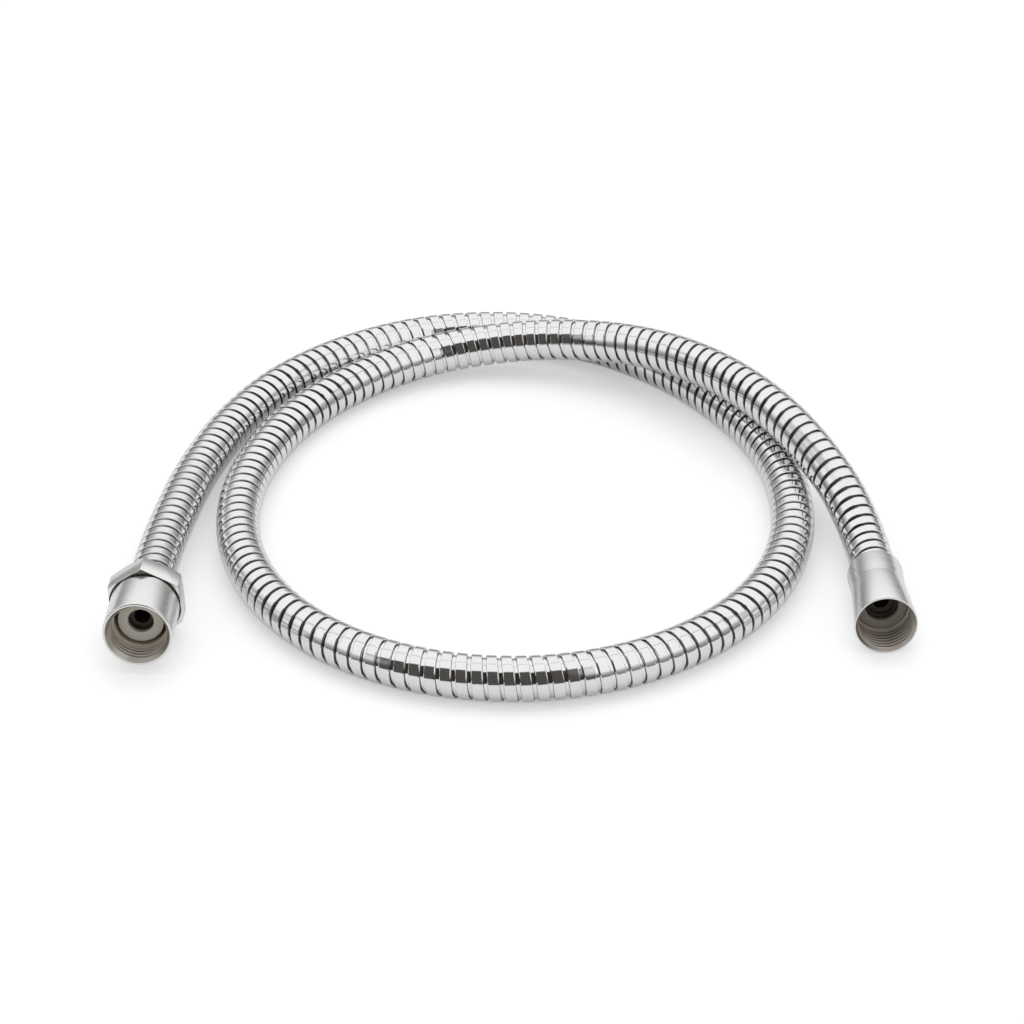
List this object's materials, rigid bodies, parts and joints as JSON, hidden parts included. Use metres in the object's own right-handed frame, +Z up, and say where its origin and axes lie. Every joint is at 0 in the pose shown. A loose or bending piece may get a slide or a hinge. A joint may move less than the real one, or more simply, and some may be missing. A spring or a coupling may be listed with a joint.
{
  "type": "flexible shower hose",
  "caption": "Flexible metal shower hose lying in loose loops, with a swivelling hexagonal union nut at one end and a conical one at the other.",
  "frame": {"origin": "on the floor, in the middle of the box round the end fittings", "axes": "+X from the hexagonal nut towards the conical one, both mouths towards -Y, +Z up"},
  "size_m": [0.2825, 0.2648, 0.0335],
  "materials": {
    "casing": "polished, wound strip",
    "tube": "matte",
    "hex_nut": "satin",
    "cone_nut": "satin",
    "washer": "pressed fibre",
    "insert": "machined",
    "ferrule": "plain"
  },
  "bodies": {
    "hose": {"outer_casing": "casing", "inner_tube": "tube", "hex_insert": "insert", "hex_ferrule": "ferrule", "cone_insert": "insert", "cone_ferrule": "ferrule"},
    "hex_union": {"hex_nut": "hex_nut", "hex_washer": "washer"},
    "cone_union": {"cone_nut": "cone_nut", "cone_washer": "washer"}
  },
  "joints": [
    {"name": "hex_nut_swivel", "type": "hinge", "parent": "hose", "child": "hex_union", "pos_m": [-0.12906, -0.02451, 0.01605], "axis": [-0.0436, -0.9976, 0.0541], "continuous": true},
    {"name": "cone_nut_swivel", "type": "hinge", "parent": "hose", "child": "cone_union", "pos_m": [0.13014, -0.01157, 0.0115], "axis": [0.0244, -0.9987, 0.0454], "continuous": true}
  ]
}
